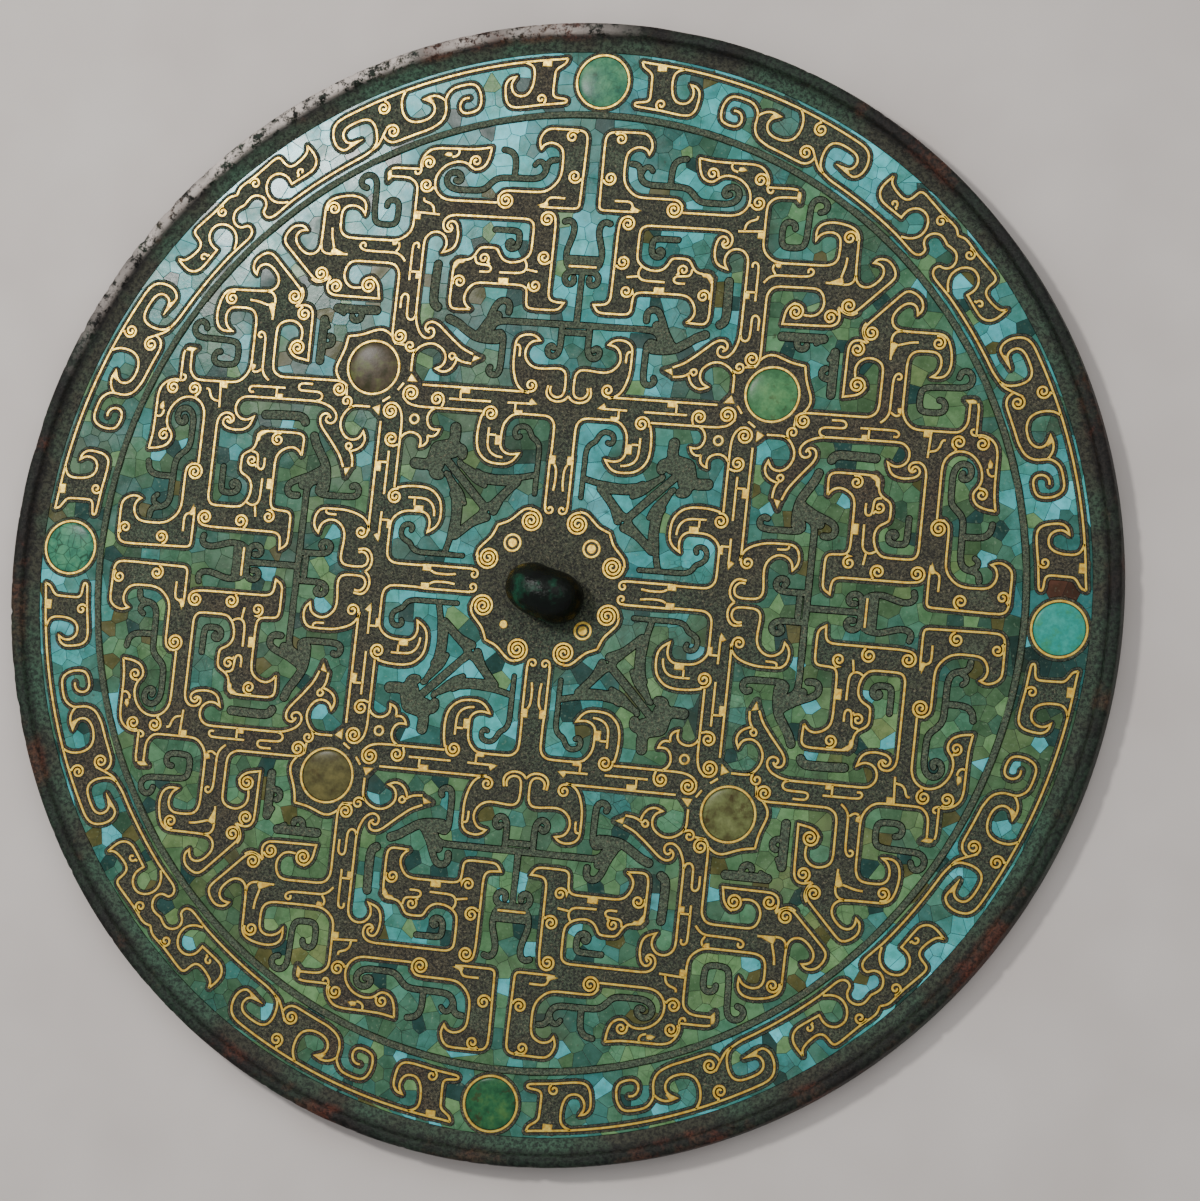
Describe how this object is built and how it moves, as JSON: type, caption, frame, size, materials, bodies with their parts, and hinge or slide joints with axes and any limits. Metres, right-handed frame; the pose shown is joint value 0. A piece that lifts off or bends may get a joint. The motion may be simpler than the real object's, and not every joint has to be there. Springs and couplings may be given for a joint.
{
  "type": "inlaid bronze mirror",
  "caption": "Round ancient bronze mirror with an inlaid back: gold-lined knotwork, turquoise mosaic, round stones and a loop knob.",
  "frame": {"origin": "middle of the reflecting face, on the surface that the mirror lies on", "axes": "+Z out of the inlaid back, along the disc's axis; +Y towards the top roundel, in the long direction across the knob's width; +X along the knob's length"},
  "size_m": [0.2226, 0.2226, 0.0124],
  "materials": {
    "bronze": "dark patinated cast bronze, green in places, worn on the rim",
    "band_mosaic": "polished turquoise tiles, standing in for stone",
    "field_mosaic": "polished malachite and turquoise tiles, standing in for stone",
    "roundel_stone": "polished round stones, some green, some olive brown"
  },
  "bodies": {
    "root": {"band_gap_mosaic_1": "band_mosaic", "band_gap_mosaic_2": "band_mosaic", "band_gap_mosaic_3": "band_mosaic", "band_gap_mosaic_4": "band_mosaic", "band_gap_mosaic_5": "band_mosaic", "band_gap_mosaic_6": "band_mosaic", "band_gap_mosaic_7": "band_mosaic", "band_gap_mosaic_8": "band_mosaic", "band_mosaic_1": "band_mosaic", "band_mosaic_2": "band_mosaic", "band_mosaic_3": "band_mosaic", "band_mosaic_4": "band_mosaic", "band_mosaic_5": "band_mosaic", "band_mosaic_6": "band_mosaic", "band_mosaic_7": "band_mosaic", "band_mosaic_8": "band_mosaic", "corner_mosaic_1": "field_mosaic", "corner_mosaic_2": "field_mosaic", "corner_mosaic_3": "field_mosaic", "corner_mosaic_4": "field_mosaic", "mirror_body": "bronze", "side_mosaic_1": "field_mosaic", "side_mosaic_2": "field_mosaic", "side_mosaic_3": "field_mosaic", "side_mosaic_4": "field_mosaic", "square_mosaic_1": "field_mosaic", "square_mosaic_2": "field_mosaic", "square_mosaic_3": "field_mosaic", "square_mosaic_4": "field_mosaic", "stone_bottom": "roundel_stone", "stone_left": "roundel_stone", "stone_lower_left": "roundel_stone", "stone_lower_right": "roundel_stone", "stone_right": "roundel_stone", "stone_top": "roundel_stone", "stone_upper_left": "roundel_stone", "stone_upper_right": "roundel_stone", "trefoil_mosaic_1": "band_mosaic", "trefoil_mosaic_2": "band_mosaic", "trefoil_mosaic_3": "band_mosaic", "trefoil_mosaic_4": "band_mosaic"}
  },
  "joints": []
}
